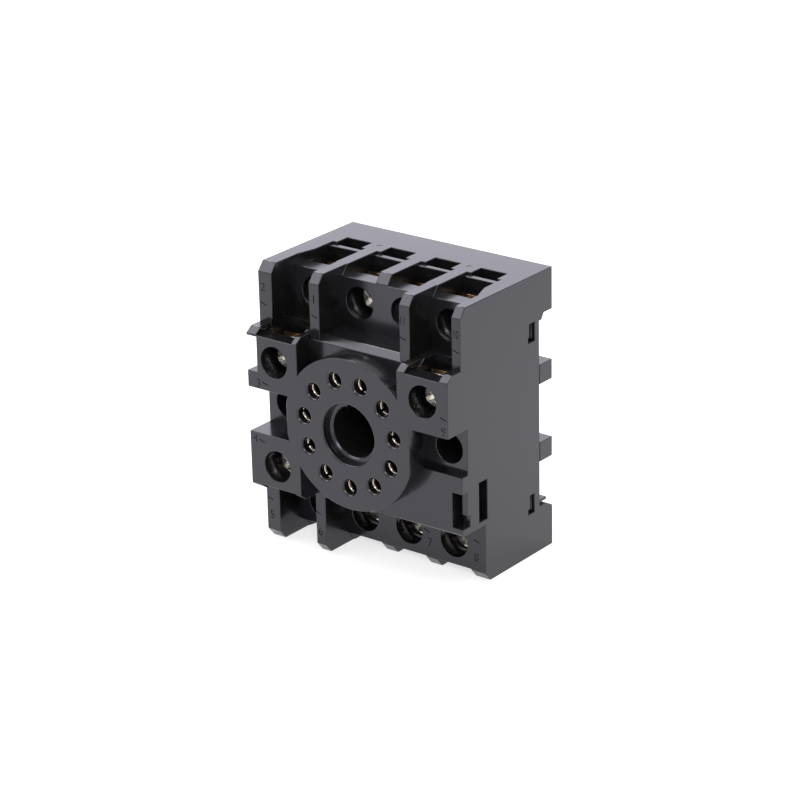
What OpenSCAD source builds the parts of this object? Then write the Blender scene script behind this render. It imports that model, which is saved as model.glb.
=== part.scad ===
// Plug-in relay socket for an eleven-pin round-base relay.
// Moulded body with a round pin face, two deep rows of four screw
// terminals and three raised terminal pads, for a rail or a panel.
// Millimetres. X across the rail, +Y towards the rail, +Z up.
// Depth d is measured forwards from the plane of the back feet.

/* [Body] */
// Width across the body, along the rail
body_w = 49.6; // [49:0.2:54]
// Height of the body, across the rail
body_h = 59.4; // [58.6:0.2:64]
// Depth from the back feet to the pin face
body_d = 34.7; // [34:0.1:38]
// Depth of the main front plane behind the raised pads
face_d = 30.4; // [30:0.1:31.2]
// Depth of the ledges that hold the two rows of deep terminals
ledge_d = 23.0; // [22.6:0.1:24]
// Depth of the floor of the two side notches
notch_d = 28.5; // [27.5:0.1:29.2]
// Sideways offset of the pin circle from the middle of the body
axis_x = 0.4; // [0:0.1:0.6]
// Half height of the block that carries the pin face and the pads
mid_half = 17.3; // [17.1:0.1:17.5]
// Half height of the side notches
notch_half = 4.75; // [4.4:0.05:5]
// Bevel run, towards the back, on every exposed front corner
bevel_run = 1.6; // [1:0.1:2]
// Bevel rise, up or down, on fins and ribs
bevel_rise = 1.9; // [1:0.1:2.1]
// Bevel rise on the pad walls and the sill
pad_bevel = 1.15; // [0.6:0.05:1.4]

/* [Pin face] */
// Radius of the circle of pin holes
pin_circle_r = 11.2; // [11:0.05:11.5]
// Number of pin holes, with the locating key in the gap at the top
pin_count = 11; // [11:1:11]
// Bore of a pin hole at the face
pin_mouth = 3.1; // [2.8:0.05:3.4]
// Radius of the raised round pin face
disc_r = 15.8; // [15.6:0.05:16.2]
// Bore of the locating key hole
key_bore = 10.2; // [9:0.1:11]
// Bore of the stepped mouth of the key hole
key_mouth = 12.7; // [12:0.1:13.2]
// Depth of the stepped mouth
key_step = 1.5; // [1:0.1:2.2]
// Width of the keyway
keyway_w = 2.2; // [1.6:0.1:2.6]

/* [Terminals] */
// Distance between the columns of deep terminals
bay_pitch = 11.1; // [11:0.05:11.3]
// Clear width of one wiring bay
bay_w = 8.2; // [7.9:0.05:8.4]
// Distance from the end of the body to a deep screw
row_end = 6.95; // [6.8:0.05:7.1]
// Sideways distance from the pin circle to a pad screw
pad_reach = 18.35; // [18.2:0.05:18.5]
// Upward distance from the pin circle to a pad screw
pad_rise = 11.15; // [11:0.05:11.3]
// Bore above each screw head
screw_bore = 6.6; // [6.5:0.05:6.8]
// Depth of the screw head below the mouth of its bore
head_sink = 4.0; // [3.4:0.1:4.3]
// Travel of a terminal screw between clamped and open
clamp_travel = 2.4; // [1.5:0.1:2.6]
// Thread diameter of the terminal screws
thread_d = 3.5; // [3:0.1:3.6]
// Head diameter of the terminal screws
head_dia = 6.0; // [5.6:0.05:6.1]
// Head height of the terminal screws
head_h = 2.3; // [2:0.05:2.5]
// Thickness of the square clamp plates
clamp_t = 1.0; // [0.8:0.05:1.1]
// Thickness of the stamped current bars
bar_t = 1.0; // [0.8:0.05:1.1]
// Width of the current bars between screw and pin
bar_w = 3.2; // [2.6:0.1:3.6]

/* [Contacts] */
// Outside diameter of the pin receptacles
contact_od = 4.0; // [3.7:0.05:4.1]
// Inside diameter of the pin receptacles
contact_bore = 2.3; // [2.2:0.05:2.4]
// Slit between the two leaves of a receptacle
leaf_slit = 0.6; // [0.4:0.05:0.8]

/* [Mounting] */
// Distance between the two panel screw holes
mount_pitch = 40; // [39.6:0.1:40.4]
// Panel screw hole
mount_hole = 4.5; // [4.2:0.1:4.6]
// Counterbore of the panel screw holes
mount_sink = 6.3; // [6:0.1:6.5]
// Depth of the recess that the rail lies in
rail_recess = 4.4; // [4.2:0.1:4.8]
// Width of the rail
rail_w = 35; // [35:1:35]
// Thickness of the rail's flange
rail_t = 1; // [1:0.1:1]
// Overlap of the hooks behind the rail
hook_bite = 1.6; // [1.2:0.1:2]
// Travel of the rail latch
latch_travel = 2.4; // [1.8:0.1:2.4]

/* [Hidden] */
$fn = 48;
e = 0.01;
gap = 0.2;
fit = 0.05;
back_y = body_d / 2;
side_x = body_w / 2;
mid_z = body_h / 2;
sill_z = mid_z + mid_half;
deep_rise = mid_z - row_end;

// walls between the bays and the fins that stand on them
rib_w = bay_pitch - bay_w;
fin_w = rib_w - 0.45;
bay_floor = 2.0;
pit_half = 4.05;
pit_sump = 1.4;
core_back = 8.5;
core_drop = 4.2;
core_skin = 1.2;
relief = 0.8;
left_fin_in = axis_x - 1.5 * bay_pitch - bay_w / 2 - 1.05;
right_fin_in = axis_x + 1.5 * bay_pitch + bay_w / 2 + 1.55;

// depth stack of a deep terminal
head_top = ledge_d - head_sink;
clamp_d = head_top - head_h;
deck_d = clamp_d - clamp_t - fit;
cavity_front = clamp_d + clamp_travel + 0.3;
pit_front = clamp_d + 0.9;
pit_back = deck_d - bar_t - pit_sump;
bar_back = deck_d - bar_t;
bar_pad_half = 3.7;
bar_pad_in = 3.6;
bar_pad_out = 3.9;
bar_leg_in = 2.6;
lug_dia = 4.4;
rivet_dia = 1.9;
clamp_half_w = 3.55;
clamp_half_h = 3.5;
screw_len = 6.0;
tip_gap = 0.4;

// depth stack of a pad terminal
pad_step = body_d - ledge_d;

// the face's skin in front of the contact pockets, and the contacts behind it
face_skin = 1.3;
contact_front = body_d - face_skin - 0.3;

// depth of the counterbores of the panel screw holes
sink_t = 8.0;

// cavity behind the deck, closed by the rear plate
plate_t = 2.0;
plate_half_w = side_x - 2.4;
plate_half_h = 20.1;
cavity_half_h = mid_half - 0.3;
wall_in = side_x - 2.2;
plate_front = rail_recess + plate_t;
ring_od = 30.2;
ring_bore = 27.8;
foot_in = 14.5;
foot_lo = 6.2;
foot_hi = 10.35;
hook_x0 = 6;
hook_x1 = 14;
rib_in = 19.5;
rib_back = 1.3;
screw_notch_in = ring_od / 2 + 0.1;
screw_notch_half = 4.3;

// window in the side wall that a snap hook of the rear plate enters
snap_lo = 16.0;
snap_hi = 19.9;
snap_d0 = 5.9;
snap_d1 = 7.75;
snap_t = 1.25;

// plug-in sizes of pads
pad_wall_out = 2.45;
pad_wall_in = 1.25;
pad_plate_half = 3.3;
pad_cavity_half = 3.75;
pad_lo = notch_half;
pad_inner_x = 12.5;

// inner ends of the side notches, which cut a flat on each side of the pin disc
notch_left = axis_x - 15.5;
notch_right = axis_x + 15.0;

// retaining clip slot, one at the upper left and one at the lower right
clip_lo = 8.3;
clip_hi = 15.7;
clip_in = 2.5;
clip_bridge0 = 24.9;
clip_bridge1 = 28.8;
clip_back = 22.2;

// rail latch
latch_t = 2.2;
latch_d0 = 1.0;
rail_lo = mid_z - rail_w / 2;
rail_hi = mid_z + rail_w / 2;
latch_head_lo = rail_lo - 1.8;
latch_half = 4.0;
latch_head = 8.2;
latch_bottom = latch_travel + 0.5;
barb_h = 1.0;
spring_x = 6.2;
spring_r = 1.25;
spring_wire = 0.4;
spring_floor = latch_head_lo - 6.2;
block_lo = mid_z - plate_half_h - 1.0;
block_lo_in = mid_z - plate_half_h + 0.2;
block_hi_in = mid_z + plate_half_h - 0.5;
block_hi = mid_z + plate_half_h + 0.8;

// terminal k: column or pad side, and upper (1) or lower (-1) half
place = [
  ["deep", 1, 1],
  ["deep", 0, 1],
  ["pad", -1, 1],
  ["pad", -1, -1],
  ["deep", 0, -1],
  ["deep", 1, -1],
  ["deep", 2, -1],
  ["deep", 3, -1],
  ["pad", 1, 1],
  ["deep", 3, 1],
  ["deep", 2, 1]
];
function is_deep(k) = place[k - 1][0] == "deep";
function up(k) = place[k - 1][2];
function col_x(c) = axis_x + (c - 1.5) * bay_pitch;
function pad_x(s) = axis_x + s * pad_reach;
function screw_x(k) = is_deep(k) ? col_x(place[k - 1][1]) : pad_x(place[k - 1][1]);
function screw_z(k) = mid_z + up(k) * (is_deep(k) ? deep_rise : pad_rise);
function lift(k) = is_deep(k) ? 0 : pad_step;
function pin_a(k) = 90 + (k - 0.5) * 360 / pin_count;
function pin_x(k) = axis_x + pin_circle_r * cos(pin_a(k));
function pin_z(k) = mid_z + pin_circle_r * sin(pin_a(k));

// a box given by its limits in x, depth and height
module block(x0, x1, d0, d1, z0, z1) {
  translate([x0, back_y - d1, z0])
    cube([x1 - x0, d1 - d0, z1 - z0]);
}

// a round bar or bore along the depth
module bore(x, z, dia, d0, d1) {
  translate([x, back_y - d0, z])
    rotate([90, 0, 0])
      cylinder(h = d1 - d0, d = dia);
}

// a cone along the depth, dia0 at d0 and dia1 at d1
module taper(x, z, dia0, dia1, d0, d1) {
  translate([x, back_y - d0, z])
    rotate([90, 0, 0])
      cylinder(h = d1 - d0, d1 = dia0, d2 = dia1);
}

// a side profile, points [-d, z], run across the width
module run_x(x0, x1, pts) {
  translate([x0, back_y, 0])
    rotate([90, 0, 90])
      linear_extrude(height = x1 - x0)
        polygon(pts);
}

// a plan profile, points [x, -d], run up the height
module run_z(z0, z1, pts) {
  translate([0, back_y, z0])
    linear_extrude(height = z1 - z0)
      polygon(pts);
}

// a front profile, points [x, z], run along the depth
module run_d(d0, d1, pts) {
  translate([0, back_y - d0, 0])
    rotate([90, 0, 0])
      linear_extrude(height = d1 - d0)
        polygon(pts);
}

// the same thing at the other end of the body
module other_end() {
  translate([0, 0, body_h])
    mirror([0, 0, 1])
      children();
}

// outline of the walls, from the side
module body_core() {
  run_x(-side_x, side_x, [
    [0, 0],
    [0, block_lo],
    [-2.3, block_lo_in],
    [-rail_recess, block_lo_in],
    [-rail_recess, block_hi_in],
    [-3.6, block_hi_in],
    [-2.8, block_hi],
    [0, block_hi],
    [0, body_h],
    [-ledge_d + bevel_run, body_h],
    [-ledge_d, body_h - bevel_rise],
    [-ledge_d, bevel_rise],
    [-ledge_d + bevel_run, 0]
  ]);
}

// a fin that stands forward of the deep ledge between two bays
module fin(x0, x1) {
  run_x(x0, x1, [
    [-ledge_d + 3, sill_z - 1],
    [-face_d, sill_z - 1],
    [-face_d, body_h - bevel_rise],
    [-face_d + bevel_run, body_h],
    [-ledge_d + 3, body_h]
  ]);
}

// the block that carries the pin face; its upper sill is bevelled
module middle_block() {
  run_x(-side_x, side_x, [
    [-ledge_d + e, mid_z - mid_half],
    [-face_d, mid_z - mid_half],
    [-face_d, sill_z - pad_bevel],
    [-face_d + bevel_run, sill_z],
    [-ledge_d + e, sill_z]
  ]);
}

// raised terminal pad between x0 and x1, with a bevelled wall on each side
module pad(x0, x1, wall0, wall1) {
  wall = [
    [-ledge_d, mid_z + pad_lo],
    [-body_d, mid_z + pad_lo],
    [-body_d, sill_z - pad_bevel],
    [-body_d + bevel_run, sill_z],
    [-ledge_d, sill_z]
  ];
  run_x(x0, x0 + wall0, wall);
  run_x(x1 - wall1, x1, wall);
  block(x0, x1, ledge_d, body_d, mid_z + pad_lo, sill_z - pad_bevel - 0.15);
}

// round pin face, with a flat on each side above the notches
module pin_disc() {
  intersection() {
    bore(axis_x, mid_z, 2 * disc_r, face_d - 3, body_d);
    block(notch_left, notch_right, 0, body_d, 0, body_h);
  }
}

module body_solid() {
  body_core();
  middle_block();
  pin_disc();
  // fins of the upper row
  fin(-side_x, left_fin_in);
  fin(axis_x - bay_pitch - fin_w / 2, axis_x - bay_pitch + fin_w / 2);
  fin(axis_x + bay_pitch - fin_w / 2, axis_x + bay_pitch + fin_w / 2);
  fin(right_fin_in, side_x);
  // the lower row has its two left fins only
  other_end() {
    fin(-side_x, left_fin_in);
    fin(axis_x - bay_pitch - fin_w / 2, axis_x - bay_pitch + fin_w / 2);
  }
  pad(-side_x, axis_x - pad_inner_x, pad_wall_out, pad_wall_in);
  pad(axis_x + pad_inner_x - 0.3, side_x, 1.85, side_x - right_fin_in);
  other_end()
    pad(-side_x, axis_x - pad_inner_x, pad_wall_out, pad_wall_in);
}

// everything cut for one deep terminal of the upper row
module deep_cut(c) {
  x = col_x(c);
  z = mid_z + deep_rise;
  h = bay_w / 2;
  top = body_h - bay_floor;
  // open channel over the pad of the terminal
  block(x - h, x + h, pit_front, body_d, top, body_h + 1);
  // wiring pit that shows the clamp
  block(x - h, x + h, pit_back, pit_front + e, z - pit_half, body_h + 1);
  // low crossbar behind the pit
  block(x - h, x + h, pit_back - core_skin - 0.1, pit_back + e, body_h - 0.5, body_h + 1);
  // blind core-out behind the crossbar
  block(x - h + 1, x + h - 1, core_back, pit_back - core_skin, body_h - core_drop, body_h + 1);
  // space for the clamp plate and its travel
  block(x - h, x + h, pit_back, cavity_front, z - pit_half, top);
  // screw bore and relief for the tip of the screw
  bore(x, z, screw_bore, cavity_front - e, body_d);
  bore(x, z, thread_d + relief, clamp_d - screw_len - tip_gap, pit_back + e);
  // slot for the current bar
  block(x - bar_w / 2 - gap, x + bar_w / 2 + gap, bar_back - gap, deck_d, sill_z - 1, z - pit_half + e);
}

// an outer wall steps back beside its end bay, side -1 or 1
module outer_bay_cut(s) {
  x0 = s < 0 ? col_x(0) - bay_w / 2 : col_x(3) + bay_w / 2;
  x1 = s < 0 ? left_fin_in : right_fin_in;
  run_z(body_h - bay_floor, body_h + 1, [
    [x0 - s, -pit_front],
    [x0, -pit_front],
    [x1, -ledge_d + 1.1],
    [x1, -ledge_d - 1],
    [x0 - s, -ledge_d - 1]
  ]);
}

// everything cut for one pad terminal of the upper half, side -1 or 1
module pad_cut(s) {
  x = pad_x(s);
  z = mid_z + pad_rise;
  h = pad_cavity_half;
  front = cavity_front + pad_step;
  back = deck_d + pad_step - bar_t - core_skin;
  block(x - h, x + h, back, front, z - pit_half, sill_z + 1);
  bore(x, z, screw_bore, front - e, body_d + 1);
  bore(x, z, thread_d + relief, clamp_d + pad_step - screw_len - tip_gap, back + e);
  // slot for the leg of the current bar
  block(x - bar_w / 2 - gap, x + bar_w / 2 + gap, deck_d - 1, back + 1, z - pit_half, z - bar_leg_in + gap);
}

// side notch with the panel screw hole, side -1 or 1
module notch_cut(s) {
  x0 = s < 0 ? -side_x - 1 : notch_right;
  x1 = s < 0 ? notch_left : side_x + 1;
  block(x0, x1, notch_d, body_d + 1, mid_z - notch_half, mid_z + notch_half);
  bore(axis_x + s * mount_pitch / 2, mid_z, mount_sink, notch_d - sink_t, notch_d + 1);
  bore(axis_x + s * mount_pitch / 2, mid_z, mount_hole, rail_recess - 1, notch_d);
}

// pin holes, contact pockets and the keyed centre hole
module pin_cut() {
  for (k = [1 : pin_count]) {
    bore(pin_x(k), pin_z(k), pin_mouth, body_d - 3, body_d + 1);
    taper(pin_x(k), pin_z(k), pin_mouth, pin_mouth + 0.7, body_d - 0.35, body_d + e);
    bore(pin_x(k), pin_z(k), contact_od + 0.6, deck_d - 1, body_d - face_skin);
  }
  bore(axis_x, mid_z, key_bore, deck_d + 1.5, body_d + 1);
  bore(axis_x, mid_z, key_mouth, body_d - key_step, body_d + 1);
  taper(axis_x, mid_z, key_bore, key_bore + 0.9, body_d - key_step - 0.45, body_d - key_step + e);
  taper(axis_x, mid_z, key_mouth, key_mouth + 0.5, body_d - 0.25, body_d + e);
  block(
    axis_x - keyway_w / 2, axis_x + keyway_w / 2,
    deck_d + 1.5, body_d + 1,
    mid_z, mid_z + key_mouth / 2 - 0.1);
}

// rear cavity, seat of the rear plate and its snap windows
module rear_cut() {
  difference() {
    union() {
      block(
        -wall_in, wall_in,
        rail_recess - 1, plate_front + 1.6,
        mid_z - plate_half_h - gap, mid_z + plate_half_h + gap);
      block(-wall_in, wall_in, plate_front, deck_d, mid_z - cavity_half_h, mid_z + cavity_half_h);
    }
    for (s = [-1, 1])
      bore(axis_x + s * mount_pitch / 2, mid_z, mount_hole + 3.4, plate_front, deck_d + 1);
  }
  for (s = [-1, 1]) {
    xa = s < 0 ? -side_x - 1 : wall_in - 1;
    xb = s < 0 ? -wall_in + 1 : side_x + 1;
    block(xa, xb, snap_d0, snap_d1, mid_z + snap_lo, mid_z + snap_hi);
    block(xa, xb, snap_d0, snap_d1 + 0.4, mid_z + snap_lo, mid_z + snap_lo + 1.1);
    block(xa, xb, snap_d0 + 0.35, snap_d1, mid_z - snap_hi - 0.6, mid_z - snap_lo - 0.5);
    block(xa, xb, snap_d0 + 0.35, snap_d1 + 0.6, mid_z - snap_hi - 0.6, mid_z - snap_hi + 0.5);
  }
}

// retaining clip slot of the lower right corner
module clip_cut() {
  z0 = mid_z - clip_hi;
  z1 = mid_z - clip_lo;
  // open corner in front of the bridge
  block(side_x - clip_in, side_x + 1, clip_bridge1, body_d + 1, z0 + 0.2, z1);
  block(side_x - clip_in, side_x + 1, clip_bridge1 - 0.9, body_d + 1, z0, z0 + 2.4);
  // channel behind the bridge and window at its far end
  block(side_x - clip_in, side_x - 1.3, clip_back, body_d + 1, z0, z1);
  block(side_x - clip_in, side_x + 1, clip_back, clip_bridge0, z0 - 0.4, z1 + 0.6);
}

// slot for the latch stem and pockets for its springs
module latch_cut() {
  d0 = latch_d0 - gap;
  d1 = latch_d0 + latch_t + gap;
  barb_top = latch_bottom + barb_h + fit;
  block(-latch_half - gap, latch_half + gap, d0, d1, -1, block_lo_in + 1);
  block(-latch_half - 1.1, latch_half + 1.1, d0, d1, -1, barb_top);
  // room for the head at the bottom of its travel
  block(-latch_head - gap, latch_head + gap, d0, d1, latch_head_lo - latch_travel - gap, block_lo_in + 1);
  for (s = [-1, 1])
    translate([s * spring_x, back_y - latch_d0 - latch_t / 2, spring_floor])
      cylinder(h = 10, r = spring_r + 0.5);
}

module housing() {
  color([0.06, 0.06, 0.065])
    difference() {
      body_solid();
      for (c = [0 : 3]) {
        deep_cut(c);
        other_end() deep_cut(c);
      }
      outer_bay_cut(-1);
      outer_bay_cut(1);
      other_end() outer_bay_cut(-1);
      pad_cut(-1);
      pad_cut(1);
      other_end() pad_cut(-1);
      notch_cut(-1);
      notch_cut(1);
      pin_cut();
      rear_cut();
      clip_cut();
      // the same slot at the upper left, turned half a turn about the depth
      translate([0, 0, mid_z])
        rotate([0, 180, 0])
          translate([0, 0, -mid_z])
            clip_cut();
      latch_cut();
      for (s = [-1, 1])
        translate([axis_x + s * bay_pitch, back_y - 9.3, body_h - 0.2])
          cylinder(h = 1, r = 0.6);
    }
}

// snap hook on the right edge at the upper window
module snap_hook(dd, z0, z1) {
  block(wall_in - 1.4, wall_in - gap, plate_front - e, dd + snap_t, z0, z1);
  run_z(z0, z1, [
    [wall_in - gap - e, -dd],
    [side_x - 0.5, -dd],
    [side_x - 0.5, -dd - 0.4],
    [wall_in - gap - e, -dd - snap_t]
  ]);
}

// hook over the upper edge of the rail
module rail_hook(x0, x1) {
  seat = rail_recess - rail_t - gap;
  run_x(x0, x1, [
    [-rail_recess - e, rail_hi + 0.4],
    [-seat, rail_hi + 0.4],
    [-seat, rail_hi - hook_bite],
    [-1.6, rail_hi - hook_bite],
    [-0.9, rail_hi - hook_bite + 0.8],
    [-0.9, block_hi_in - gap],
    [-rail_recess - e, block_hi_in - gap]
  ]);
}

// a foot that bears on a panel beside the screw hole
module foot(z0, z1) {
  block(foot_in, side_x - fit, 0, rail_recess - gap, z0, z1);
  block(foot_in, plate_half_w, 0, rail_recess + e, z0, z1);
}

// a thin rib beside the lower block
module edge_rib(z0, z1) {
  block(rib_in, side_x - 0.6, rib_back, rail_recess - gap, z0, z1);
  block(rib_in, plate_half_w, rib_back, rail_recess + e, z0, z1);
}

module rear_plate() {
  color([0.07, 0.07, 0.075])
    difference() {
      union() {
        block(
          -plate_half_w, plate_half_w,
          rail_recess, plate_front,
          mid_z - plate_half_h, mid_z + plate_half_h);
        // ring that holds the current bars against the deck
        difference() {
          bore(axis_x, mid_z, ring_od, plate_front - e, bar_back - fit);
          bore(axis_x, mid_z, ring_bore, plate_front - 1, bar_back + 1);
        }
        for (m = [0, 1])
          mirror([m, 0, 0]) {
            snap_hook(snap_d0 + 0.15, mid_z + snap_lo + 0.3, mid_z + snap_hi - 0.3);
            snap_hook(snap_d0 + 0.45, mid_z - snap_hi - 0.3, mid_z - snap_lo - 0.8);
            foot(mid_z + foot_lo, mid_z + foot_hi);
            foot(mid_z - foot_hi, mid_z - foot_lo);
            rail_hook(hook_x0, hook_x1);
            edge_rib(block_lo_in + 0.3, block_lo_in + 0.9);
          }
      }
      // the plate is open to each side round the panel screw
      for (s = [-1, 1]) {
        x0 = s < 0 ? -side_x : axis_x + screw_notch_in;
        x1 = s < 0 ? axis_x - screw_notch_in : side_x;
        block(x0, x1, -1, plate_front + 1, mid_z - screw_notch_half, mid_z + screw_notch_half);
      }
    }
}

module rail_latch() {
  seat = rail_recess - rail_t - gap;
  color([0.08, 0.08, 0.085])
    difference() {
      union() {
        block(-latch_half, latch_half, latch_d0, latch_d0 + latch_t, latch_bottom, latch_head_lo + 1);
        // barbs that stop it at the top of its travel
        block(
          -latch_half - 0.8, latch_half + 0.8,
          latch_d0, latch_d0 + latch_t,
          latch_bottom, latch_bottom + barb_h);
        // head with the bevelled lip that goes behind the rail
        run_x(-latch_head, latch_head, [
          [-latch_d0, latch_head_lo],
          [-seat, latch_head_lo],
          [-seat, rail_lo + hook_bite],
          [-latch_d0 - 0.9, rail_lo + hook_bite],
          [-latch_d0, rail_lo + hook_bite - 1.2]
        ]);
      }
      // slot for a screwdriver
      block(-2.6, 2.6, latch_d0 - 1, latch_d0 + 0.9, latch_bottom + 1, latch_bottom + 2.4);
    }
}

// slice through a round wire wound as a coil: a thin crescent
function coil_slice(pitch) = let(
    half = 180 * spring_wire / pitch,
    n = 6
  ) concat(
    [for (i = [0 : n])
      let(t = 1 - 2 * i / n, r = spring_r + spring_wire / 2 * sqrt(max(0, 1 - t * t)))
        [r * cos(t * half), r * sin(t * half)]],
    [for (i = [1 : n - 1])
      let(t = 2 * i / n - 1, r = spring_r - spring_wire / 2 * sqrt(max(0, 1 - t * t)))
        [r * cos(t * half), r * sin(t * half)]]
  );

// coil spring with ends ground flat
module coil(x) {
  turns = 5;
  rise = latch_head_lo - spring_floor - 2 * fit;
  translate([x, back_y - latch_d0 - latch_t / 2, spring_floor + fit])
    linear_extrude(height = rise, twist = -360 * turns, slices = 60, $fn = 12)
      polygon(coil_slice(rise / turns));
}

module latch_spring_left() {
  color([0.7, 0.71, 0.73])
    coil(-spring_x);
}

module latch_spring_right() {
  color([0.7, 0.71, 0.73])
    coil(spring_x);
}

// receptacle with two leaves, riveted to its current bar
module contact(k) {
  base = deck_d + fit;
  front = contact_front;
  color([0.72, 0.45, 0.28])
    translate([pin_x(k), back_y, pin_z(k)])
      rotate([90, 0, 0])
        difference() {
          rotate_extrude()
            polygon([
              [0, bar_back - 0.5],
              [1.4, bar_back - 0.5],
              [1.4, bar_back - fit],
              [rivet_dia / 2, bar_back - fit],
              [rivet_dia / 2, base],
              [contact_od / 2, base],
              [contact_od / 2, front - 0.4],
              [contact_od / 2 - 0.3, front],
              [contact_bore / 2 + 0.35, front],
              [contact_bore / 2, front - 0.5],
              [contact_bore / 2, base + 3],
              [0, base + 3]
            ]);
          rotate([0, 0, pin_a(k)])
            translate([-5, -leaf_slit / 2, base + 4.5])
              cube([10, leaf_slit, 40]);
        }
}

module contact_1() { contact(1); }
module contact_2() { contact(2); }
module contact_3() { contact(3); }
module contact_4() { contact(4); }
module contact_5() { contact(5); }
module contact_6() { contact(6); }
module contact_7() { contact(7); }
module contact_8() { contact(8); }
module contact_9() { contact(9); }
module contact_10() { contact(10); }
module contact_11() { contact(11); }

// a box about x, between two heights given in either order
module slab(x, half, d0, d1, za, zb) {
  block(x - half, x + half, d0, d1, min(za, zb), max(za, zb));
}

// flat strip in the plane of the deck from one point to another
module strip(xa, za, xb, zb) {
  len = sqrt((xb - xa) * (xb - xa) + (zb - za) * (zb - za));
  translate([xa, back_y - bar_back, za])
    rotate([0, -atan2(zb - za, xb - xa), 0])
      translate([0, -bar_t, -bar_w / 2])
        cube([len, bar_t, bar_w]);
  bore(xa, za, bar_w, bar_back, deck_d);
}

module bar(k) {
  x = screw_x(k);
  z = screw_z(k);
  s = up(k);
  seat = deck_d + lift(k);
  half = is_deep(k) ? bar_pad_half : pad_plate_half;
  knee = is_deep(k) ? mid_z + s * (cavity_half_h - bar_w / 2 - 0.3) : z - s * (bar_pad_in + bar_leg_in) / 2;
  color([0.74, 0.56, 0.34])
    difference() {
      union() {
        // screw pad
        slab(x, half, seat - bar_t, seat, z - s * bar_pad_in, z + s * bar_pad_out);
        // neck of a deep bar, or leg of a pad bar
        if (is_deep(k))
          slab(x, bar_w / 2, bar_back, deck_d, knee, z - s * (bar_pad_in - 0.1));
        else
          slab(x, bar_w / 2, bar_back, seat - e, z - s * bar_pad_in, z - s * bar_leg_in);
        strip(x, knee, pin_x(k), pin_z(k));
        bore(pin_x(k), pin_z(k), lug_dia, bar_back, deck_d);
      }
      bore(x, z, thread_d + 2 * fit, seat - bar_t - 1, seat + 1);
      bore(pin_x(k), pin_z(k), rivet_dia + 2 * fit, bar_back - 1, deck_d + 1);
    }
}

module bar_1() { bar(1); }
module bar_2() { bar(2); }
module bar_3() { bar(3); }
module bar_4() { bar(4); }
module bar_5() { bar(5); }
module bar_6() { bar(6); }
module bar_7() { bar(7); }
module bar_8() { bar(8); }
module bar_9() { bar(9); }
module bar_10() { bar(10); }
module bar_11() { bar(11); }

module clamp(k) {
  half = is_deep(k) ? clamp_half_w : pad_plate_half;
  d0 = deck_d + lift(k) + fit;
  color([0.78, 0.78, 0.76])
    translate([screw_x(k), back_y - d0, screw_z(k)])
      rotate([90, 0, 0])
        difference() {
          intersection() {
            translate([-half, -clamp_half_h, 0])
              cube([2 * half, 2 * clamp_half_h, clamp_t - fit]);
            cylinder(h = 3, r = half + 0.95, center = true);
          }
          translate([0, 0, -1])
            cylinder(h = 4, d = thread_d + 2 * fit);
        }
}

module clamp_1() { clamp(1); }
module clamp_2() { clamp(2); }
module clamp_3() { clamp(3); }
module clamp_4() { clamp(4); }
module clamp_5() { clamp(5); }
module clamp_6() { clamp(6); }
module clamp_7() { clamp(7); }
module clamp_8() { clamp(8); }
module clamp_9() { clamp(9); }
module clamp_10() { clamp(10); }
module clamp_11() { clamp(11); }

module screw(k) {
  d0 = clamp_d + lift(k) + fit;
  r = head_dia / 2;
  color([0.8, 0.8, 0.78])
    translate([screw_x(k), back_y - d0, screw_z(k)])
      rotate([90, 0, 0])
        difference() {
          rotate_extrude()
            polygon([
              [0, -screw_len],
              [thread_d / 2 - 0.5, -screw_len],
              [thread_d / 2, 0.5 - screw_len],
              [thread_d / 2, 0],
              [r, 0],
              [r, head_h - 0.9],
              [r - 0.25, head_h - 0.4],
              [r - 0.8, head_h - fit],
              [0, head_h - fit]
            ]);
          for (a = [0, 90])
            rotate([0, 0, a + 20 + 31 * k])
              translate([-2.2, -0.45, head_h - 1.4])
                cube([4.4, 0.9, 3]);
          translate([0, 0, head_h - 1.5])
            cylinder(h = 3, d = 1.7);
        }
}

module screw_1() { screw(1); }
module screw_2() { screw(2); }
module screw_3() { screw(3); }
module screw_4() { screw(4); }
module screw_5() { screw(5); }
module screw_6() { screw(6); }
module screw_7() { screw(7); }
module screw_8() { screw(8); }
module screw_9() { screw(9); }
module screw_10() { screw(10); }
module screw_11() { screw(11); }

housing();
rear_plate();
rail_latch();
latch_spring_left();
latch_spring_right();
contact_1();
contact_2();
contact_3();
contact_4();
contact_5();
contact_6();
contact_7();
contact_8();
contact_9();
contact_10();
contact_11();
bar_1();
bar_2();
bar_3();
bar_4();
bar_5();
bar_6();
bar_7();
bar_8();
bar_9();
bar_10();
bar_11();
clamp_1();
clamp_2();
clamp_3();
clamp_4();
clamp_5();
clamp_6();
clamp_7();
clamp_8();
clamp_9();
clamp_10();
clamp_11();
screw_1();
screw_2();
screw_3();
screw_4();
screw_5();
screw_6();
screw_7();
screw_8();
screw_9();
screw_10();
screw_11();
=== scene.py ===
import math

import bmesh
import bpy
from mathutils import Matrix, Vector


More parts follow.
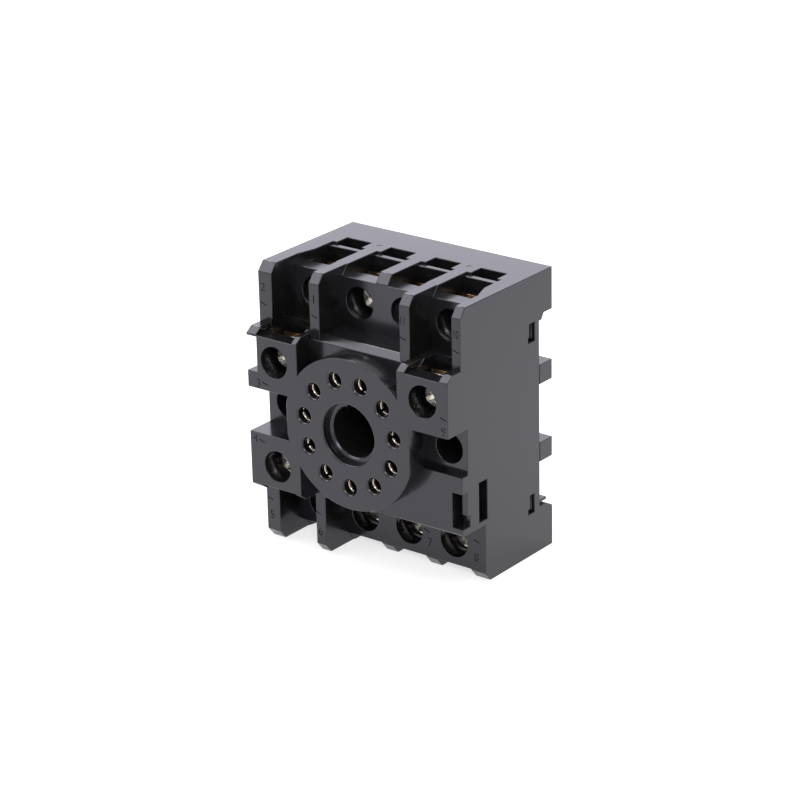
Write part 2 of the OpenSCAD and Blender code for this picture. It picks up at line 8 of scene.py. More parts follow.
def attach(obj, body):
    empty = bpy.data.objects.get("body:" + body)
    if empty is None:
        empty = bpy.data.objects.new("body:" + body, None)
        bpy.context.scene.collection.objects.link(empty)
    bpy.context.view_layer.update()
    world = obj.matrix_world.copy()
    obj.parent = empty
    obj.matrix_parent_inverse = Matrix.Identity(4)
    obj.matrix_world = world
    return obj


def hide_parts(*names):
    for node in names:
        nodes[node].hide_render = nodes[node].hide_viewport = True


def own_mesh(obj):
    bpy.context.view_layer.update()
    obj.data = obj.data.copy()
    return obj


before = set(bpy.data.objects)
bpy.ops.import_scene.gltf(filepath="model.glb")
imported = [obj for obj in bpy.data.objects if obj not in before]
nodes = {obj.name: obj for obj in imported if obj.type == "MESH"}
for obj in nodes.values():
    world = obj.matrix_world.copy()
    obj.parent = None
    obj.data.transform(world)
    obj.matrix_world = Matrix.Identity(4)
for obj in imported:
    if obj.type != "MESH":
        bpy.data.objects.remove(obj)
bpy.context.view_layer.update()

terminals = range(1, 12)

# a millimetre in Blender's metres; the lengths up to the helpers are in millimetres
mm = 0.001

# y of the back plane, and planes of the housing by their distance in front of it
back_y = 17.35
face_d = 30.4
ledge_d = 23.0
pad_d = 34.7

# gap within which a CAD node's corners are one, and angle up to which its faces are one
weld_gap = 0.002
flat_angle = 0.5
# the same gap in shapes made here, and in the outlines of the numbers
join_gap = 0.001
digit_join_gap = 0.004
# a surface is round from the first angle, in radians, up to the second, in degrees
round_from = 0.01
sharp_angle = 25.0

# radii of the rounded edges
housing_radius = 0.12
plate_radius = 0.1
latch_radius = 0.1
bar_radius = 0.05
clamp_radius = 0.08
screw_radius = 0.05
edge_segments = 2

# numbers sunk in the housing, and the short line that points to each terminal
digit_size = 2.55
digit_sink = 0.16
digit_curve_steps = 3
pair_squeeze = 0.62
pair_spacing = 0.95
line_length = 1.5
line_width = 0.22
line_tilt = -18.0
# text, x, depth of the face, height, and the line's x and height
marks = [
    ("1", -10.7, face_d, 54.3, -10.7, 50.8),
    ("2", -23.6, face_d, 54.3, -23.6, 50.9),
    ("3", -22.0, pad_d, 35.6, -20.4, 35.9),
    ("4", -23.4, pad_d, 23.6, -21.8, 23.3),
    ("5", -23.4, face_d, 5.2, -23.8, 8.8),
    ("6", -10.8, face_d, 4.6, -11.4, 8.7),
    ("7", 11.2, ledge_d, 5.2, 10.4, 7.6),
    ("8", 22.6, ledge_d, 4.8, 22.6, 8.4),
    ("9", 23.7, pad_d, 35.8, 23.7, 38.4),
    ("10", 23.7, face_d, 54.2, 23.7, 50.8),
    ("11", 11.1, face_d, 54.3, 11.1, 50.8),
]
# holes of up to this many edges, which a cut may leave, are closed
small_hole = 8

# the long lower edge of the front block, which is rounded more: its height and radius,
# and the least length and angle, in radians, by which it is told from other edges
front_block_z = 12.4
front_block_radius = 0.85
front_block_segments = 4
block_edge_slack = 0.02
block_face_slack = 0.1
block_edge_length = 5.0
block_edge_angle = 1.0

# round marks on the top: x, depth and height, their reach, the heights between which
# the CAD has their floor, and how deep it is shown
top_z = 59.4
top_marks = [(11.5, 9.3, top_z), (-10.7, 9.3, top_z)]
top_mark_reach = 0.8
top_mark_floor = (-0.3, -0.1)
top_mark_sink = 0.05

# spots too narrow for a rounded edge, by x, depth and height, and their reach
plain_reach = 1.0
narrow_ledges = [
    (0.4, 33.2, 36.2), (-0.5, 33.2, 36.0), (1.3, 33.2, 36.0),
    (-1.5, 33.2, 35.2), (1.5, 33.2, 35.2),
    (-22.3, 8.1, 46.4), (22.3, 8.1, 46.4),
]
hook_roots = [
    (side * 22.4, depth, height)
    for side in (-1, 1)
    for depth, height in ((7.2, 46.0), (7.2, 49.3), (7.5, 9.5), (7.5, 12.9))
]

# terminal screws: shank and thread, the plain neck and how far it reaches into the head
shank_length = 6.0
thread_crest = 1.75
thread_root = 1.42
thread_pitch = 0.6
thread_sides = 24
trim_gap = 0.0001
plain_neck = 0.5
neck_overlap = 0.05
tip_bevel = 0.5
# one tooth of the thread: radius, and place as a share of the pitch
thread_tooth = [
    (thread_root, 0.0), (thread_root, 0.16), (thread_crest, 0.5), (thread_crest, 0.62),
]

# pin receptacles: radius and depth along the back, the sleeve and its rolled lip
pin_pitch = 360.0 / 11.0
sleeve_profile = [
    (0.0, 14.15), (1.4, 14.15), (1.4, 14.6), (0.95, 14.6), (0.95, 15.7), (2.0, 15.7),
    (2.0, 32.6), (1.95, 32.84), (1.83, 33.01), (1.68, 33.09), (1.55, 33.08), (1.44, 33.02),
    (1.34, 32.91), (1.26, 32.76), (1.2, 32.55), (1.15, 32.2), (1.15, 18.7), (0.0, 18.7),
]
sleeve_sides = 40
slit_width = 0.6
slit_start = 20.2
saw_width = 10.0
saw_length = 20.0
leaf_sharp_angle = 40.0

# latch springs: wire, turns in each closed end and between the ends, and the rise of a
# closed turn in wire widths
wire_radius = 0.2
wire_sides = 10
closed_turns = 1
closed_pitch = 1.03
open_turns = 4
spring_sides = 20

# inputs and output of a Mix node that mixes colours
mix_first = 6
mix_second = 7
mix_colour = 2

# the resin's gloss leans a little to violet
resin_tint = (0.9, 0.87, 1.0)
dust_tone = (0.42, 0.41, 0.4, 1.0)
white = (1.0, 1.0, 1.0, 1.0)


# helpers for shapes

def spot(x, depth, z):
    """A point given by x, the distance in front of the back plane, and height."""
    return Vector((x * mm, (back_y - depth) * mm, z * mm))


def extents(verts):
    """The lowest and the highest x, y and z of some vertices."""
    xs, ys, zs = zip(*(vert.co for vert in verts))
    return Vector((min(xs), min(ys), min(zs))), Vector((max(xs), max(ys), max(zs)))


def whole(shape):
    """Every vertex, edge and face of a shape."""
    return shape.verts[:] + shape.edges[:] + shape.faces[:]


def open_edges(shape):
    """The edges at which only one face ends."""
    return [edge for edge in shape.edges if edge.is_boundary]


def to_place(shape, at):
    """Brings a shape from millimetres to metres and moves it to its place."""
    bmesh.ops.scale(shape, vec=(mm, mm, mm), verts=shape.verts)
    bmesh.ops.translate(shape, vec=at, verts=shape.verts)


def mesh_of(name, shape):
    """A mesh from a bmesh, which is freed."""
    mesh = bpy.data.meshes.new(name)
    shape.to_mesh(mesh)
    shape.free()
    return mesh


def new_object(name, data):
    """An object in the scene with the given data."""
    made = bpy.data.objects.new(name, data)
    bpy.context.scene.collection.objects.link(made)
    return made


def finished_mesh(piece):
    """A new mesh with an object's modifiers, or its text, worked out."""
    bpy.context.view_layer.update()
    graph = bpy.context.evaluated_depsgraph_get()
    return bpy.data.meshes.new_from_object(piece.evaluated_get(graph))


def new_piece(name, shape, material, body, node):
    """An object from a bmesh, which stands for a CAD node and rides on its body."""
    mesh = mesh_of(name, shape)
    mesh.materials.append(material)
    piece = new_object(name, mesh)
    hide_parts(node)
    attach(piece, body)
    return piece


def cut_away(piece, cutter):
    """Cuts one object's shape out of a piece and removes the cutter."""
    cut = piece.modifiers.new("cut", "BOOLEAN")
    cut.operation = "DIFFERENCE"
    cut.solver = "EXACT"
    cut.object = cutter
    done = finished_mesh(piece)
    piece.modifiers.clear()
    shape = bmesh.new()
    shape.from_mesh(done)
    bmesh.ops.holes_fill(shape, edges=open_edges(shape), sides=small_hole)
    shape.to_mesh(done)
    shape.free()
    piece.data = done
    bpy.data.objects.remove(cutter)


# rounded copies of the CAD nodes

def shell_of(node):
    """A CAD node's mesh as one closed shell whose flat faces are whole."""
    shape = bmesh.new()
    shape.from_mesh(nodes[node].data)
    bmesh.ops.remove_doubles(shape, verts=shape.verts, dist=weld_gap * mm)
    bmesh.ops.dissolve_limit(
        shape, angle_limit=math.radians(flat_angle), verts=shape.verts, edges=shape.edges,
    )
    return shape


def bevel_edges(shape, edges, radius, segments):
    """Rounds the given edges and shades their new faces smooth."""
    made = bmesh.ops.bevel(
        shape, geom=edges, offset=radius * mm, offset_type="OFFSET", affect="EDGES",
        segments=segments, profile=0.5, material=-1, clamp_overlap=False,
    )
    for face in made["faces"]:
        face.smooth = True


def round_edges(shape, radius, plain=(), wide=None, wide_radius=0.0):
    """Rounds each outward edge; flat faces stay flat and round ones are shaded smooth.

    Edges that start or end near a plain spot are left sharp, and those that the wide
    test picks get a larger radius.
    """
    limit = math.radians(sharp_angle)
    for face in shape.faces:
        face.smooth = any(round_from < edge.calc_face_angle(0.0) < limit for edge in face.edges)
    if wide:
        picked = [edge for edge in shape.edges if wide(edge)]
        bevel_edges(shape, picked, wide_radius, front_block_segments)
    spots = [spot(*place) for place in plain]
    edges = [
        edge for edge in shape.edges
        if edge.calc_face_angle_signed(0.0) > limit
        and not any(
            (vert.co - near).length < plain_reach * mm for vert in edge.verts for near in spots
        )
    ]
    bevel_edges(shape, edges, radius, edge_segments)
    for edge in shape.edges:
        edge.smooth = edge.calc_face_angle_signed(0.0) > -limit


def lift_top_marks(shape):
    """Makes the two round marks on the top shallow."""
    lowest, highest = top_mark_floor
    for x, depth, z in top_marks:
        for vert in shape.verts:
            away = vert.co - spot(x, depth, z)
            across = math.hypot(away.x, away.y)
            if across < top_mark_reach * mm and lowest * mm < away.z < highest * mm:
                vert.co.z = (top_z - top_mark_sink) * mm


def is_block_edge(edge):
    """True for the long lower edge of the front block."""
    if edge.calc_length() <= block_edge_length * mm:
        return False
    return edge.calc_face_angle_signed(0.0) > block_edge_angle and all(
        abs(vert.co.z - front_block_z * mm) < block_edge_slack * mm
        and vert.co.y < (back_y - face_d + block_face_slack) * mm
        for vert in edge.verts
    )


def dress_rounded(node, material, body, radius, plain=()):
    """Shows a CAD node as a copy with its edges rounded, in its finish."""
    shape = shell_of(node)
    round_edges(shape, radius, plain)
    new_piece(f"{node}_rounded", shape, material, body, node)


# screws

def threaded_shank():
    """A threaded shank along y from the origin, in millimetres, open at its start."""
    shank = bmesh.new()
    teeth = math.ceil(shank_length / thread_pitch) + 2
    profile = [
        shank.verts.new((radius, (tooth - 1) * thread_pitch + share * thread_pitch, 0.0))
        for tooth in range(teeth)
        for radius, share in thread_tooth
    ]
    profile.append(shank.verts.new((thread_root, (teeth - 1) * thread_pitch, 0.0)))
    row = [shank.edges.new(pair) for pair in zip(profile, profile[1:])]
    bmesh.ops.spin(
        shank, geom=profile + row, cent=(0.0, 0.0, 0.0), axis=(0.0, 1.0, 0.0),
        dvec=(0.0, thread_pitch / thread_sides, 0.0), angle=2.0 * math.pi,
        steps=thread_sides, use_merge=False,
    )
    bmesh.ops.remove_doubles(shank, verts=shank.verts, dist=join_gap)
    for height, way in ((0.0, -1.0), (shank_length, 1.0)):
        made = bmesh.ops.bisect_plane(
            shank, geom=whole(shank), dist=trim_gap,
            plane_co=(0.0, height, 0.0), plane_no=(0.0, way, 0.0), clear_outer=True,
        )
    tip_rim = [part for part in made["geom_cut"] if isinstance(part, bmesh.types.BMEdge)]
    bmesh.ops.edgeloop_fill(shank, edges=tip_rim)
    for vert in shank.verts:
        # the neck has no thread, and the tip tapers
        radius = math.hypot(vert.co.x, vert.co.z)
        room = thread_crest - tip_bevel + shank_length - vert.co.y
        wanted = min(radius, room, thread_root if vert.co.y < plain_neck else radius)
        if radius > 0.0:
            vert.co.x *= wanted / radius
            vert.co.z *= wanted / radius
    for face in shank.faces:
        face.smooth = True
    return shank


def make_screw(node, material, body):
    """Shows a CAD screw with rounded edges and a real thread on its shank."""
    shape = shell_of(node)
    low, high = extents(shape.verts)
    neck_y = high.y - (shank_length - neck_overlap) * mm
    neck = Vector(((low.x + high.x) / 2, neck_y, (low.z + high.z) / 2))
    bmesh.ops.bisect_plane(
        shape, geom=whole(shape), plane_co=neck, plane_no=(0.0, 1.0, 0.0), clear_outer=True,
    )
    round_edges(shape, screw_radius)
    shank = threaded_shank()
    to_place(shank, neck - Vector((0.0, neck_overlap * mm, 0.0)))
    mesh = mesh_of("shank", shank)
    shape.from_mesh(mesh)
    bpy.data.meshes.remove(mesh)
    bmesh.ops.bridge_loops(shape, edges=open_edges(shape))
    bmesh.ops.recalc_face_normals(shape, faces=shape.faces)
    new_piece(f"{node}_threaded", shape, material, body, node)


# latch springs

def make_spring(node, material):
    """Shows a latch spring as a coil of round wire, with closed turns at each end."""
    shape = shell_of(node)
    low, high = extents(shape.verts)
    shape.free()
    foot = Vector(((low.x + high.x) / 2, (low.y + high.y) / 2, low.z))
    width = (high.x - low.x) / mm
    height = (high.z - low.z) / mm
    closed_rise = closed_pitch * 2.0 * wire_radius * closed_turns
    open_rise = height - 2.0 * wire_radius - 2.0 * closed_rise
    stretches = (
        (closed_turns, closed_rise), (open_turns, open_rise), (closed_turns, closed_rise),
    )
    coil = bmesh.new()
    bmesh.ops.create_circle(coil, cap_ends=False, segments=wire_sides, radius=wire_radius)
    stand = Matrix.Rotation(math.radians(90.0), 3, "X")
    bmesh.ops.rotate(coil, cent=(0.0, 0.0, 0.0), matrix=stand, verts=coil.verts)
    start = (width / 2 - wire_radius, 0.0, wire_radius)
    bmesh.ops.translate(coil, vec=start, verts=coil.verts)
    end = coil.verts[:] + coil.edges[:]
    for turns, rise in stretches:
        steps = turns * spring_sides
        made = bmesh.ops.spin(
            coil, geom=end, cent=(0.0, 0.0, 0.0), axis=(0.0, 0.0, 1.0),
            dvec=(0.0, 0.0, rise / steps), angle=2.0 * math.pi * turns,
            steps=steps, use_merge=False,
        )
        end = made["geom_last"]
    for face in coil.faces:
        face.smooth = True
    bmesh.ops.edgeloop_fill(coil, edges=open_edges(coil))
    bmesh.ops.recalc_face_normals(coil, faces=coil.faces)
    to_place(coil, foot)
    piece = new_piece(f"{node}_wound", coil, material, "base", node)
    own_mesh(piece)


# pin receptacles

def rolled_sleeve():
    """A receptacle's sleeve along y, in millimetres, with its back and its rolled lip."""
    sleeve = bmesh.new()
    profile = [
        sleeve.verts.new((radius, back_y - depth, 0.0)) for radius, depth in sleeve_profile
    ]
    row = [sleeve.edges.new(pair) for pair in zip(profile, profile[1:])]
    bmesh.ops.spin(
        sleeve, geom=profile + row, cent=(0.0, 0.0, 0.0), axis=(0.0, 1.0, 0.0),
        dvec=(0.0, 0.0, 0.0), angle=2.0 * math.pi, steps=sleeve_sides, use_merge=True,
    )
    bmesh.ops.remove_doubles(sleeve, verts=sleeve.verts, dist=join_gap)
    bmesh.ops.recalc_face_normals(sleeve, faces=sleeve.faces)
    for face in sleeve.faces:
        face.smooth = True
    return sleeve


def slitting_saw(k, axis):
    """The object that slits receptacle k's sleeve into two leaves."""
    saw = bmesh.new()
    bmesh.ops.create_cube(saw, size=1.0)
    bmesh.ops.scale(saw, vec=(saw_width, saw_length, slit_width), verts=saw.verts)
    turn = Matrix.Rotation(-math.radians(90.0 + (k - 0.5) * pin_pitch), 3, "Y")
    bmesh.ops.rotate(saw, cent=(0.0, 0.0, 0.0), matrix=turn, verts=saw.verts)
    middle_y = back_y - slit_start - saw_length / 2
    bmesh.ops.translate(saw, vec=(0.0, middle_y, 0.0), verts=saw.verts)
    to_place(saw, axis)
    return new_object("saw", mesh_of("saw", saw))


def make_contact(k, material):
    """Shows a pin receptacle as a rolled sleeve with a round lip and two spring leaves."""
    node = f"contact_{k}"
    low, high = extents(nodes[node].data.vertices)
    axis = Vector(((low.x + high.x) / 2, 0.0, (low.z + high.z) / 2))
    sleeve = rolled_sleeve()
    to_place(sleeve, axis)
    piece = new_piece(f"{node}_rolled", sleeve, material, "base", node)
    cut_away(piece, slitting_saw(k, axis))
    shape = bmesh.new()
    shape.from_mesh(piece.data)
    for edge in shape.edges:
        edge.smooth = edge.calc_face_angle(0.0) < math.radians(leaf_sharp_angle)
    shape.to_mesh(piece.data)
    shape.free()


# terminal numbers

def number_shape(text):
    """A plain number as a flat solid, in millimetres, centred on the origin."""
    curve = bpy.data.curves.new("number", "FONT")
    curve.body = text
    curve.size = digit_size
    curve.align_x = "CENTER"
    curve.align_y = "CENTER"
    curve.extrude = digit_sink
    curve.space_character = pair_spacing
    curve.resolution_u = digit_curve_steps
    holder = new_object("number", curve)
    mesh = finished_mesh(holder)
    shape = bmesh.new()
    shape.from_mesh(mesh)
    bmesh.ops.remove_doubles(shape, verts=shape.verts, dist=digit_join_gap)
    squeeze = pair_squeeze if len(text) > 1 else 1.0
    bmesh.ops.scale(shape, vec=(squeeze, 1.0, 1.0), verts=shape.verts)
    bpy.data.objects.remove(holder)
    bpy.data.meshes.remove(mesh)
    return shape


def line_shape():
    """The short slanted line beside a number, in millimetres, centred on the origin."""
    shape = bmesh.new()
    bmesh.ops.create_cube(shape, size=1.0)
    size = (line_length, line_width, 2.0 * digit_sink)
    bmesh.ops.scale(shape, vec=size, verts=shape.verts)
    tilt = Matrix.Rotation(math.radians(line_tilt), 3, "Z")
    bmesh.ops.rotate(shape, cent=(0.0, 0.0, 0.0), matrix=tilt, verts=shape.verts)
    return shape


def marks_cutter():
    """One object that holds every number and line, each half sunk in its face."""
    mesh = bpy.data.meshes.new("marks")
    total = bmesh.new()
    stand = Matrix.Rotation(math.radians(90.0), 4, "X")
    for text, x, depth, z, line_x, line_z in marks:
        for shape, at_x, at_z in ((number_shape(text), x, z), (line_shape(), line_x, line_z)):
            place = Matrix.Translation(spot(at_x, depth, at_z)) @ stand @ Matrix.Scale(mm, 4)
            bmesh.ops.transform(shape, matrix=place, verts=shape.verts)
            shape.to_mesh(mesh)
            shape.free()
            total.from_mesh(mesh)
            mesh.clear_geometry()
    total.to_mesh(mesh)
    total.free()
    return new_object("marks", mesh)


# shared shader effects

def new_group(name, inputs):
    """A skin's node group: its inputs (name, kind, value), and colour, gloss and relief out."""
    group = bpy.data.node_groups.new(name, "ShaderNodeTree")
    for label, kind, value in inputs:
        socket = group.interface.new_socket(name=label, in_out="INPUT", socket_type=kind)
        socket.default_value = value
    for label, kind in (
        ("Color", "NodeSocketColor"), ("Roughness", "NodeSocketFloat"),
        ("Normal", "NodeSocketVector"),
    ):
        group.interface.new_socket(name=label, in_out="OUTPUT", socket_type=kind)
    return group, group.nodes.new("NodeGroupInput"), group.nodes.new("NodeGroupOutput")


def add_node(tree, kind, values=(), **settings):
    """A node with its settings, and values for its inputs by name."""
    node = tree.nodes.new(kind)
    for key, value in settings.items():
        setattr(node, key, value)
    for key, value in values:
        node.inputs[key].default_value = value
    return node


def add_noise(tree, vector, scale, detail, roughness):
    """Noise over the surface."""
    noise = add_node(
        tree, "ShaderNodeTexNoise",
        [("Scale", scale), ("Detail", detail), ("Roughness", roughness)],
    )
    tree.links.new(vector, noise.inputs["Vector"])
    return noise.outputs["Fac"]


def add_range(tree, value, taken, given):
    """A value, with the range that is taken of it brought to the one that is given."""
    spread = add_node(
        tree, "ShaderNodeMapRange",
        [
            ("From Min", taken[0]), ("From Max", taken[1]),
            ("To Min", given[0]), ("To Max", given[1]),
        ],
    )
    tree.links.new(value, spread.inputs["Value"])
    return spread.outputs["Result"]


def give_gloss(group, take, give, change):
    """Gives out the Gloss input with its change over the surface, as a roughness."""
    total = add_node(group, "ShaderNodeMath", operation="ADD", use_clamp=True)
    group.links.new(take.outputs["Gloss"], total.inputs[0])
    group.links.new(change, total.inputs[1])
    group.links.new(total.outputs[0], give.inputs["Roughness"])


def give_relief(group, give, strength, height, distance):
    """Gives out a fine relief as a normal."""
    bump = add_node(group, "ShaderNodeBump", [("Distance", distance)])
    group.links.new(strength, bump.inputs["Strength"])
    group.links.new(height, bump.inputs["Height"])
    group.links.new(bump.outputs["Normal"], give.inputs["Normal"])


def make_mould_skin():
    """The skin of a moulded part: flow marks in its gloss, fine spark texture and dust."""
    group, take, give = new_group(
        "mould_skin",
        [
            ("Vector", "NodeSocketVector", (0.0, 0.0, 0.0)),
            ("Tone", "NodeSocketColor", (0.03, 0.03, 0.03, 1.0)),
            ("Gloss", "NodeSocketFloat", 0.3),
            ("Spark", "NodeSocketFloat", 0.05),
            ("Dust", "NodeSocketFloat", 0.02),
        ],
    )
    link = group.links.new
    vector = take.outputs["Vector"]
    flow = add_noise(group, vector, 95.0, 3.0, 0.55)
    spark = add_noise(group, vector, 5200.0, 2.0, 0.6)
    speck = add_noise(group, vector, 1500.0, 1.0, 0.5)
    dust = add_node(group, "ShaderNodeMath", operation="MULTIPLY")
    link(add_range(group, speck, (0.68, 0.8), (0.0, 1.0)), dust.inputs[0])
    link(take.outputs["Dust"], dust.inputs[1])
    tone = add_node(group, "ShaderNodeVectorMath", operation="SCALE")
    link(take.outputs["Tone"], tone.inputs[0])
    link(add_range(group, flow, (0.3, 0.7), (0.9, 1.1)), tone.inputs["Scale"])
    mix = add_node(group, "ShaderNodeMix", data_type="RGBA")
    link(dust.outputs[0], mix.inputs["Factor"])
    link(tone.outputs["Vector"], mix.inputs[mix_first])
    mix.inputs[mix_second].default_value = dust_tone
    link(mix.outputs[mix_colour], give.inputs["Color"])
    give_gloss(group, take, give, add_range(group, flow, (0.3, 0.7), (-0.05, 0.05)))
    give_relief(group, give, take.outputs["Spark"], spark, 0.00002)
    return group


def make_metal_skin():
    """The skin of a small metal part: cloudy plating and fine scratches."""
    group, take, give = new_group(
        "metal_skin",
        [
            ("Vector", "NodeSocketVector", (0.0, 0.0, 0.0)),
            ("Bright", "NodeSocketColor", (0.8, 0.8, 0.8, 1.0)),
            ("Stain", "NodeSocketColor", (0.4, 0.38, 0.33, 1.0)),
            ("Gloss", "NodeSocketFloat", 0.25),
            ("Scratch", "NodeSocketFloat", 0.2),
        ],
    )
    link = group.links.new
    vector = take.outputs["Vector"]
    cloud = add_noise(group, vector, 420.0, 3.0, 0.6)
    mix = add_node(group, "ShaderNodeMix", data_type="RGBA")
    link(add_range(group, cloud, (0.5, 0.75), (0.0, 0.5)), mix.inputs["Factor"])
    link(take.outputs["Bright"], mix.inputs[mix_first])
    link(take.outputs["Stain"], mix.inputs[mix_second])
    link(mix.outputs[mix_colour], give.inputs["Color"])
    give_gloss(group, take, give, add_range(group, cloud, (0.35, 0.7), (-0.02, 0.06)))
    stretch = add_node(group, "ShaderNodeMapping", [("Scale", (1.0, 1.0, 3.0))])
    link(vector, stretch.inputs["Vector"])
    scratches = add_noise(group, stretch.outputs["Vector"], 2600.0, 2.0, 0.5)
    give_relief(group, give, take.outputs["Scratch"], scratches, 0.00006)
    return group


# finishes

def skinned_material(name, skin, values, metallic=0.0, ior=1.5, tint=(1.0, 1.0, 1.0)):
    """A material whose colour, gloss and relief come from a skin group."""
    material = bpy.data.materials.new(name)
    material.use_nodes = True
    tree = material.node_tree
    shader = tree.nodes["Principled BSDF"]
    shader.inputs["Metallic"].default_value = metallic
    shader.inputs["IOR"].default_value = ior
    shader.inputs["Specular Tint"].default_value = (*tint, 1.0)
    place = add_node(tree, "ShaderNodeTexCoord")
    effect = add_node(tree, "ShaderNodeGroup", node_tree=skin)
    for key, value in values:
        effect.inputs[key].default_value = value
    tree.links.new(place.outputs["Object"], effect.inputs["Vector"])
    tree.links.new(effect.outputs["Color"], shader.inputs["Base Color"])
    tree.links.new(effect.outputs["Roughness"], shader.inputs["Roughness"])
    tree.links.new(effect.outputs["Normal"], shader.inputs["Normal"])
    return material


mould_skin = make_mould_skin()
metal_skin = make_metal_skin()


def moulded(name, tone, gloss, spark, dust, ior):
    """A finish of the black resin."""
    values = [("Tone", (*tone, 1.0)), ("Gloss", gloss), ("Spark", spark), ("Dust", dust)]
    return skinned_material(name, mould_skin, values, ior=ior, tint=resin_tint)


def metal(name, bright, stain, gloss, scratch):
    """A finish of one metal, clean and stained."""
    values = [
        ("Bright", (*bright, 1.0)), ("Stain", (*stain, 1.0)),
        ("Gloss", gloss), ("Scratch", scratch),
    ]
    return skinned_material(name, metal_skin, values, metallic=1.0)


black_moulding = moulded(
    "black_moulding", tone=(0.0092, 0.0088, 0.0096),
    gloss=0.19, spark=0.03, dust=0.012, ior=1.54,
)
plate_moulding = moulded(
    "plate_moulding", tone=(0.0095, 0.0091, 0.01),
    gloss=0.22, spark=0.04, dust=0.012, ior=1.54,
)
latch_moulding = moulded(
    "latch_moulding", tone=(0.009, 0.0087, 0.0094),
    gloss=0.24, spark=0.04, dust=0.01, ior=1.52,
)
screw_nickel = metal(
    "screw_nickel", bright=(0.74, 0.72, 0.66), stain=(0.5, 0.47, 0.4),
    gloss=0.1, scratch=0.6,
)
clamp_steel = metal(
    "clamp_steel", bright=(0.5, 0.47, 0.4), stain=(0.36, 0.32, 0.25),
    gloss=0.16, scratch=0.04,
)
bar_brass = metal(
    "bar_brass", bright=(0.25, 0.155, 0.09), stain=(0.16, 0.1, 0.06),
    gloss=0.16, scratch=0.015,
)
contact_bronze = metal(
    "contact_bronze", bright=(0.45, 0.4, 0.35), stain=(0.4, 0.31, 0.22),
    gloss=0.14, scratch=0.02,
)
spring_wire = metal(
    "spring_wire", bright=(0.7, 0.7, 0.72), stain=(0.4, 0.4, 0.4),
    gloss=0.22, scratch=0.05,
)


# the socket

housing = shell_of("housing")
lift_top_marks(housing)
round_edges(
    housing, housing_radius, narrow_ledges + top_marks,
    wide=is_block_edge, wide_radius=front_block_radius,
)
housing_piece = new_piece("housing_rounded", housing, black_moulding, "base", "housing")
cut_away(housing_piece, marks_cutter())
dress_rounded("rear_plate", plate_moulding, "base", plate_radius, hook_roots)
dress_rounded("rail_latch", latch_moulding, "latch", latch_radius)
make_spring("latch_spring_left", spring_wire)
make_spring("latch_spring_right", spring_wire)
for k in terminals:
    make_contact(k, contact_bronze)
    dress_rounded(f"bar_{k}", bar_brass, "base", bar_radius)
    dress_rounded(f"clamp_{k}", clamp_steel, f"clamp_body_{k}", clamp_radius)
    make_screw(f"screw_{k}", screw_nickel, f"screw_body_{k}")


# floor, light and camera

def seen_directly(tree):
    """1 where the camera, or a mirror or a clear piece, sees the surface, else 0."""
    rays = add_node(tree, "ShaderNodeLightPath")
    first = add_node(tree, "ShaderNodeMath", operation="MAXIMUM")
    both = add_node(tree, "ShaderNodeMath", operation="MAXIMUM")
    tree.links.new(rays.outputs["Is Camera Ray"], first.inputs[0])
    tree.links.new(rays.outputs["Is Glossy Ray"], first.inputs[1])
    tree.links.new(first.outputs[0], both.inputs[0])
    tree.links.new(rays.outputs["Is Transmission Ray"], both.inputs[1])
    return both.outputs[0]


def white_stage(name, lit, shown):
    """A pale matt surface with a glow that only the camera, mirrors and clear pieces see."""
    material = bpy.data.materials.new(name)
    material.use_nodes = True
    tree = material.node_tree
    shader = tree.nodes["Principled BSDF"]
    shader.inputs["Base Color"].default_value = (lit, lit, lit, 1.0)
    shader.inputs["Roughness"].default_value = 0.9
    shader.inputs["Specular IOR Level"].default_value = 0.1
    glow = add_node(tree, "ShaderNodeEmission", [("Color", white), ("Strength", shown)])
    both = add_node(tree, "ShaderNodeAddShader")
    pick = add_node(tree, "ShaderNodeMixShader")
    tree.links.new(shader.outputs["BSDF"], both.inputs[0])
    tree.links.new(glow.outputs["Emission"], both.inputs[1])
    tree.links.new(seen_directly(tree), pick.inputs["Fac"])
    tree.links.new(shader.outputs["BSDF"], pick.inputs[1])
    tree.links.new(both.outputs["Shader"], pick.inputs[2])
    tree.links.new(pick.outputs["Shader"], tree.nodes["Material Output"].inputs["Surface"])
    return material


def make_floor():
    """A plain pale floor under the socket."""
    shape = bmesh.new()
    bmesh.ops.create_grid(shape, x_segments=2, y_segments=2, size=2.5)
    mesh = mesh_of("floor", shape)
    floor = new_object("floor", mesh)
    mesh.materials.append(white_stage("pale_floor", lit=0.6, shown=0.68))


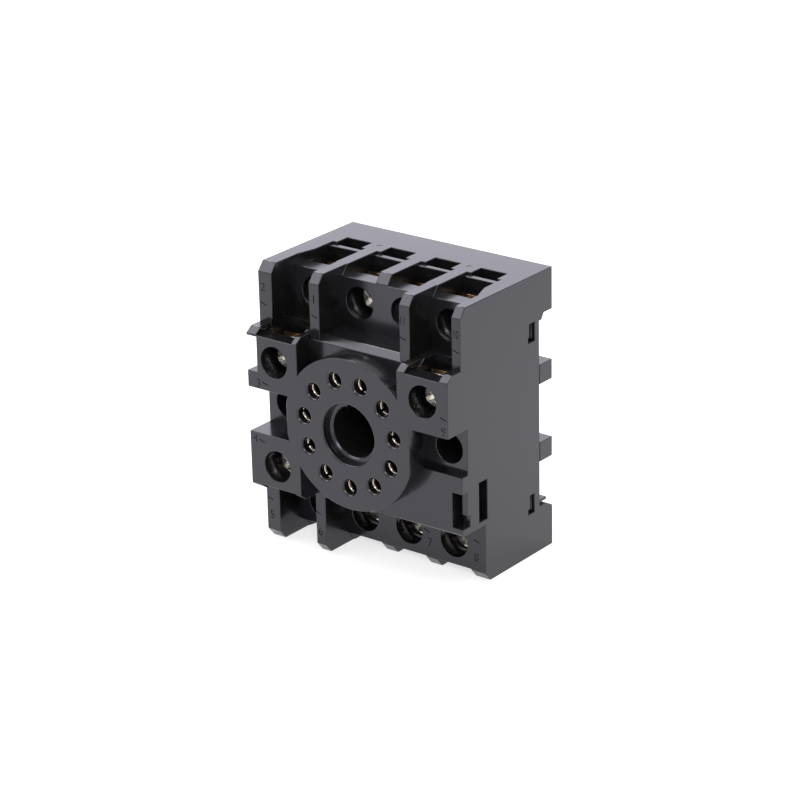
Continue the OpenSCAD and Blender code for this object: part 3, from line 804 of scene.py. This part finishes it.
def make_world():
    """Pale surroundings: white to the camera and to mirrors, softer as light on the object."""
    world = bpy.data.worlds.new("pale_room")
    bpy.context.scene.world = world
    world.use_nodes = True
    tree = world.node_tree
    room = tree.nodes["Background"]
    room.inputs["Color"].default_value = white
    room.inputs["Strength"].default_value = 0.55
    seen = add_node(tree, "ShaderNodeBackground", [("Color", white), ("Strength", 1.0)])
    pick = add_node(tree, "ShaderNodeMixShader")
    tree.links.new(seen_directly(tree), pick.inputs["Fac"])
    tree.links.new(room.outputs["Background"], pick.inputs[1])
    tree.links.new(seen.outputs["Background"], pick.inputs[2])
    tree.links.new(pick.outputs["Shader"], tree.nodes["World Output"].inputs["Surface"])


def soft_light(name, at, width, height, watts, tint=(1.0, 1.0, 1.0)):
    """A soft box at one point, turned to face the middle of the socket."""
    lamp = bpy.data.lights.new(name, "AREA")
    lamp.color = tint
    lamp.shape = "RECTANGLE"
    lamp.size = width
    lamp.size_y = height
    lamp.energy = watts
    box = new_object(name, lamp)
    box.location = at
    box.rotation_mode = "QUATERNION"
    middle = Vector((0.0, 0.0, 0.03))
    box.rotation_quaternion = (middle - Vector(at)).to_track_quat("-Z", "Y")


def make_camera():
    """The photograph's view, from the fit to the socket's corners."""
    azimuth = math.radians(37.884)
    elevation = math.radians(21.75)
    roll = math.radians(-1.269)
    distance = 0.59554
    shift_right = -0.003328
    shift_up = -0.000327
    right = Vector((math.cos(azimuth), math.sin(azimuth), 0.0))
    back = Vector((
        math.sin(azimuth) * math.cos(elevation),
        -math.cos(azimuth) * math.cos(elevation),
        math.sin(elevation),
    ))
    up = back.cross(right)
    turned_right = right * math.cos(roll) + up * math.sin(roll)
    turned_up = up * math.cos(roll) - right * math.sin(roll)
    target = Vector((0.0, 0.00535, 0.030)) + right * shift_right + up * shift_up
    camera_data = bpy.data.cameras.new("camera")
    camera_data.sensor_width = 36.0
    camera_data.lens = 133.48
    camera_data.clip_start = 0.01
    camera_data.clip_end = 20.0
    camera = new_object("camera", camera_data)
    place = Matrix((turned_right, turned_up, back)).transposed().to_4x4()
    place.translation = target + back * distance
    camera.matrix_world = place
    bpy.context.scene.camera = camera


make_floor()
make_world()
soft_light("back_panel", (-0.51, 0.66, 0.36), 0.6, 0.6, 1.2, (0.82, 0.8, 1.0))
soft_light("front_box", (-0.5, -0.26, 0.62), 0.55, 0.55, 2.7)
soft_light("right_box", (0.36, -0.53, 0.5), 0.3, 0.3, 1.6)
soft_light("left_box", (-0.46, 0.28, 0.6), 0.22, 0.22, 1.3)
soft_light("top_box", (0.1, 0.05, 0.8), 0.5, 0.5, 2.5)
make_camera()
bpy.context.scene.view_settings.view_transform = "Standard"
